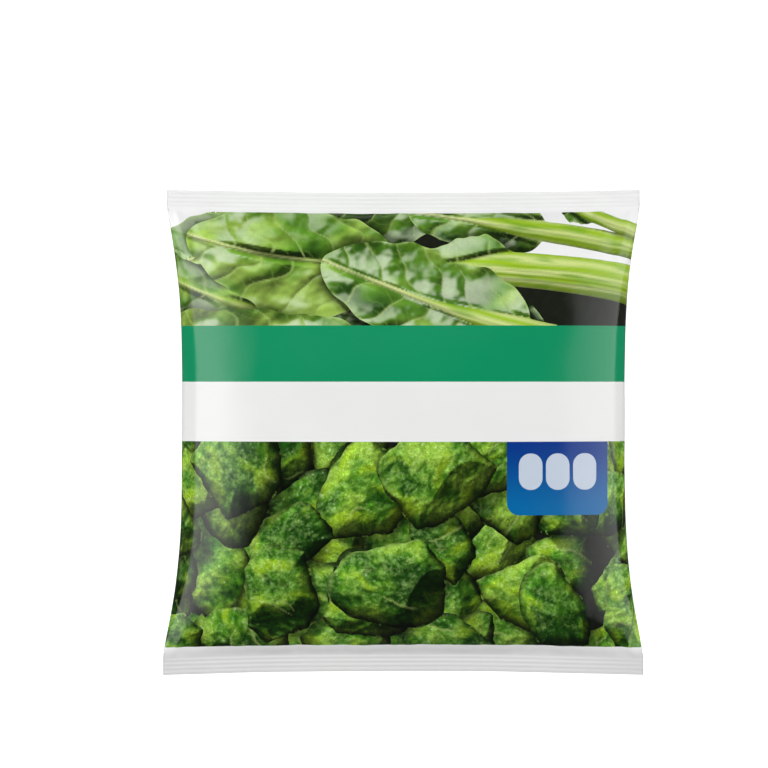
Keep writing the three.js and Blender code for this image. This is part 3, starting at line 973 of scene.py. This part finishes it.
class Nodes:
    """A material's node tree, with short ways to add and join nodes."""

    def __init__(self, name):
        self.material = bpy.data.materials.new(name)
        self.material.use_nodes = True
        self.tree = self.material.node_tree
        self.shader = self.tree.nodes["Principled BSDF"]

    def add(self, kind, **values):
        node = self.tree.nodes.new(kind)
        for name, value in values.items():
            if hasattr(node, name):
                setattr(node, name, value)
            else:
                node.inputs[name.replace("_", " ").title()].default_value = value
        return node

    def own_place(self):
        return self.add("ShaderNodeTexCoord").outputs["Object"]

    def join(self, output, socket):
        self.tree.links.new(output, socket)

    def into(self, name, value):
        """Give the shader a value, or join a node's output to it."""
        socket = self.shader.inputs[name]
        if isinstance(value, bpy.types.NodeSocket):
            self.join(value, socket)
        else:
            socket.default_value = value

    def noise(self, place, scale, detail=3.0, distortion=0.0):
        node = self.add("ShaderNodeTexNoise", scale=scale, detail=detail, distortion=distortion)
        self.join(place, node.inputs["Vector"])
        return node.outputs["Fac"]

    def ranged(self, value, low, high, to_low, to_high):
        ends = {"from_min": low, "from_max": high, "to_min": to_low, "to_max": to_high}
        node = self.add("ShaderNodeMapRange", **ends)
        self.join(value, node.inputs["Value"])
        return node.outputs["Result"]

    def threads(self, place, scale, width):
        """Thin wandering lines: 1 along them and 0 between."""
        off = self.add("ShaderNodeMath", operation="COMPARE")
        off.inputs[1].default_value, off.inputs[2].default_value = 0.5, width
        self.join(self.noise(place, scale, 1.5, 0.9), off.inputs[0])
        return off.outputs["Value"]

    def times(self, colour, value):
        """A colour made lighter or darker by a value."""
        node = self.add("ShaderNodeVectorMath", operation="SCALE")
        self.join(colour, node.inputs[0])
        self.join(value, node.inputs["Scale"])
        return node.outputs["Vector"]

    def mixed(self, share, a, b):
        node = self.add("ShaderNodeMix", data_type="RGBA")
        self.join(share, node.inputs["Factor"])
        for value, socket in ((a, node.inputs[6]), (b, node.inputs[7])):
            if isinstance(value, bpy.types.NodeSocket):
                self.join(value, socket)
            else:
                socket.default_value = (*value, 1)
        return node.outputs[2]

    def bump(self, height, strength, distance):
        node = self.add("ShaderNodeBump", strength=strength, distance=distance)
        self.join(height, node.inputs["Height"])
        self.into("Normal", node.outputs["Normal"])


def film_material(name, roughness, grain=0.0, threads=0.0, haze=0.0):
    """Glossy film: the print's colour, faint handling marks and a slight texture."""
    made = Nodes(name)
    place = made.add("ShaderNodeUVMap", uv_map="web").outputs["UV"]
    colour = made.add("ShaderNodeAttribute", attribute_name="print").outputs["Color"]
    if grain:
        fine = made.noise(place, 620.0, 4.0)
        colour = made.times(colour, made.ranged(fine, 0.3, 0.7, 1 - grain, 1 + grain))
    if threads:
        for scale, width, strength in ((210.0, 0.012, 1.0), (370.0, 0.016, 0.8)):
            line = made.threads(place, scale, width)
            line = made.ranged(line, 0, 1, 1 - 0.1 * threads, 1 + strength * threads)
            colour = made.times(colour, line)
    if haze:
        cloud = made.noise(place, 9.0, 3.0)
        colour = made.times(colour, made.ranged(cloud, 0.3, 0.7, 1 - haze, 1.0))
    made.into("Base Color", colour)
    marks = made.noise(place, 34.0, 5.0)
    made.into("Roughness", made.ranged(marks, 0.35, 0.75, roughness - 0.015, roughness + 0.035))
    made.into("IOR", 1.5)
    made.bump(made.noise(place, 150.0, 2.0), 0.05, 0.0004)
    return made.material


def vent_material():
    """The shaded inside of a vent."""
    made = Nodes("vent_shadow")
    shade = made.noise(made.own_place(), 900.0)
    made.into("Base Color", made.mixed(shade, srgb(20, 30, 18), srgb(40, 56, 34)))
    made.into("Roughness", 0.6)
    return made.material


def leaf_material():
    """Frozen chopped chard: dark and light leaf, stem flecks and a bloom of frost."""
    made = Nodes("frozen_chard")
    place = made.own_place()
    patches = made.noise(place, 130.0, 5.0)
    leaf = made.mixed(made.ranged(patches, 0.38, 0.62, 0, 1), srgb(24, 62, 14), srgb(96, 146, 38))
    stems = made.ranged(made.noise(place, 60.0, 1.0), 0.6, 0.68, 0, 0.8)
    leaf = made.mixed(stems, leaf, srgb(176, 196, 92))
    frost = made.ranged(made.noise(place, 420.0, 3.0), 0.55, 0.75, 0, 0.6)
    made.into("Base Color", made.mixed(frost, leaf, srgb(214, 226, 206)))
    made.into("Roughness", made.ranged(patches, 0.3, 0.7, 0.45, 0.8))
    made.into("IOR", 1.31)
    made.bump(made.noise(place, 300.0, 5.0), 0.6, 0.0008)
    return made.material


# The film bag


def rim_vertices(axis, value):
    """The web's vertices on one of its edges, in order along it."""
    found = np.flatnonzero(np.abs(web[:, axis] - value) < SAME_PLACE)
    return found[np.argsort(web[found, 1 - axis])]


def add_object(name, data):
    made = bpy.data.objects.new(name, data)
    bpy.context.scene.collection.objects.link(made)
    return made


def build_film():
    places = film_points(web[:, 0], web[:, 1]) * MM
    corners, material = paint()
    joined = np.arange(len(web))
    joined[rim_vertices(0, LEFT_EDGE)] = rim_vertices(0, RIGHT_EDGE)
    faces = joined[triangles]
    ends = [rim_vertices(1, t)[1:] for t in (-HALF_LENGTH, HALF_LENGTH)]
    kept, renumbered = np.unique(faces, return_inverse=True)
    number = np.zeros(len(web), int)
    number[kept] = np.arange(len(kept))
    caps = [number[ends[0]][::-1].tolist(), number[ends[1]].tolist()]
    mesh = bpy.data.meshes.new("printed_film")
    mesh.from_pydata(places[kept].tolist(), [], [*renumbered.reshape(-1, 3).tolist(), *caps])
    count = 3 * len(triangles)
    colour = mesh.color_attributes.new("print", "FLOAT_COLOR", "CORNER")
    values = np.ones((len(mesh.loops), 4), np.float32)
    values[:count, :3] = np.clip(corners.reshape(-1, 3), 0, 1)
    values[count:, :3] = FILM_WHITE
    colour.data.foreach_set("color", values.ravel())
    layer = mesh.uv_layers.new(name="web")
    flat = np.zeros((len(mesh.loops), 2), np.float32)
    flat[:count] = (web[triangles].reshape(-1, 2) - (LEFT_EDGE, -HALF_LENGTH)) / UV_SPAN
    layer.data.foreach_set("uv", flat.ravel())
    mesh.polygons.foreach_set("material_index", [*material.tolist(), BARE_FILM, BARE_FILM])
    mesh.polygons.foreach_set("use_smooth", [*[True] * len(triangles), False, False])
    for made in (
        film_material("film_over_portions", 0.13, grain=0.14, threads=0.5),
        film_material("film_over_leaves", 0.13, grain=0.06),
        film_material("film_over_plain_print", 0.14, haze=0.03),
        film_material("bare_milky_film", 0.2, haze=0.05),
        vent_material(),
    ):
        mesh.materials.append(made)
    mesh.update()
    film = add_object("printed_film", mesh)
    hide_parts("film_bag")
    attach(film, "root")


build_film()


# The frozen portions inside


def build_portion(name, material):
    """A leafy, frosted block that stays within its solid."""
    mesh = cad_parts[name].data.copy()
    mesh.materials.clear()
    mesh.materials.append(material)
    portion = add_object(name.replace("frozen", "leafy"), mesh)
    finer = portion.modifiers.new("finer", "SUBSURF")
    finer.levels = finer.render_levels = 2
    evaluated = portion.evaluated_get(bpy.context.evaluated_depsgraph_get())
    mesh = bpy.data.meshes.new_from_object(evaluated)
    portion.data = mesh
    portion.modifiers.clear()
    place, normal = np.empty((2, len(mesh.vertices), 3))
    mesh.vertices.foreach_get("co", place.ravel())
    mesh.vertices.foreach_get("normal", normal.ravel())
    x, y, z = (place / MM).T
    dent = ridged(x / 6 + z / 5, y / 5 - z / 7, int(name[-2:]), 3)
    place -= normal * (MM * (0.3 + 1.5 * dent))[:, None]
    mesh.vertices.foreach_set("co", place.ravel())
    mesh.polygons.foreach_set("use_smooth", [True] * len(mesh.polygons))
    mesh.update()
    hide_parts(name)
    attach(portion, "root")


frozen_chard = leaf_material()
for name in sorted(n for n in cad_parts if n.startswith("frozen_portion")):
    build_portion(name, frozen_chard)


# Floor, light and camera


def build_floor():
    mesh = bpy.data.meshes.new("floor")
    corners = [(i * FLOOR_REACH, j * FLOOR_REACH, 0) for i, j in ((-1, -1), (1, -1), (1, 1), (-1, 1))]
    mesh.from_pydata(corners, [], [(0, 1, 2, 3)])
    made = Nodes("white_floor")
    cloud = made.noise(made.own_place(), 2.0, 2.0)
    made.into("Base Color", made.mixed(cloud, (0.34, 0.34, 0.34), (0.36, 0.36, 0.36)))
    made.into("Roughness", 0.9)
    made.into("Emission Color", (1, 1, 1, 1))
    made.into("Emission Strength", FLOOR_GLOW)
    mesh.materials.append(made.material)
    floor = add_object("floor", mesh)
    floor.visible_glossy = False


def add_light(name, place, size, power, glossy=False):
    """A soft light that faces the bag, for its gloss alone or for all but its gloss."""
    data = bpy.data.lights.new(name, "AREA")
    data.shape = "RECTANGLE"
    data.size, data.size_y = size
    data.energy = power
    light = add_object(name, data)
    light.location = place
    towards = Vector((0, 0, 0.02)) - Vector(place)
    light.rotation_euler = towards.to_track_quat("-Z", "X").to_euler()
    light.visible_glossy, light.visible_diffuse = glossy, not glossy


FLOOR_GLOW = 1.0
FLOOR_REACH = 12.0
WORLD_GLOW = 0.08
STRIP_DISTANCE = 1.2
STRIP_LENGTH = 2.6
STRIP_STEP = 5
LEFT_STRIPS = (75, (2.5, 2.5, 2.5, 2.5, 2.5, 2.4, 1.9, 1.1, 0.4))
RIGHT_STRIPS = (85, (2.1, 2.0, 1.9, 1.8, 1.65, 1.55, 1.4, 1.2, 1.0, 0.75))
FRAME_WIDTH = 0.32
LENS = 180.0
SENSOR = 36.0
VIEW_CENTRE = (-0.00804, 0.02015)

build_floor()
for side, (lowest, glows) in ((-1, LEFT_STRIPS), (1, RIGHT_STRIPS)):
    for number, radiance in enumerate(glows):
        angle = lowest - STRIP_STEP * number
        turn = math.radians(angle)
        place = (side * STRIP_DISTANCE * math.sin(turn), 0, STRIP_DISTANCE * math.cos(turn))
        size = (math.radians(STRIP_STEP) * STRIP_DISTANCE, STRIP_LENGTH)
        power = radiance * math.pi * size[0] * size[1]
        add_light(f"strip_{side}_{angle}", place, size, power, glossy=True)
add_light("key", (-0.2, 0.75, 1.6), (1.4, 1.4), 17.2)
add_light("left_fill", (-1.07, 0, 0.9), (0.9, 0.9), 8.0)
add_light("right_fill", (1.07, 0, 0.9), (0.9, 0.9), 8.2)
add_light("front_fill", (0, -0.95, 0.75), (0.9, 0.5), 1.3)

world = bpy.data.worlds.new("studio")
world.use_nodes = True
background = world.node_tree.nodes["Background"]
background.inputs["Color"].default_value = (1, 1, 1, 1)
background.inputs["Strength"].default_value = WORLD_GLOW
bpy.context.scene.world = world
bpy.context.scene.view_settings.view_transform = "Standard"

camera = add_object("camera", bpy.data.cameras.new("camera"))
camera.data.lens, camera.data.sensor_width = LENS, SENSOR
camera.location = (*VIEW_CENTRE, SEAL_HEIGHT * MM + FRAME_WIDTH * LENS / SENSOR)
bpy.context.scene.camera = camera
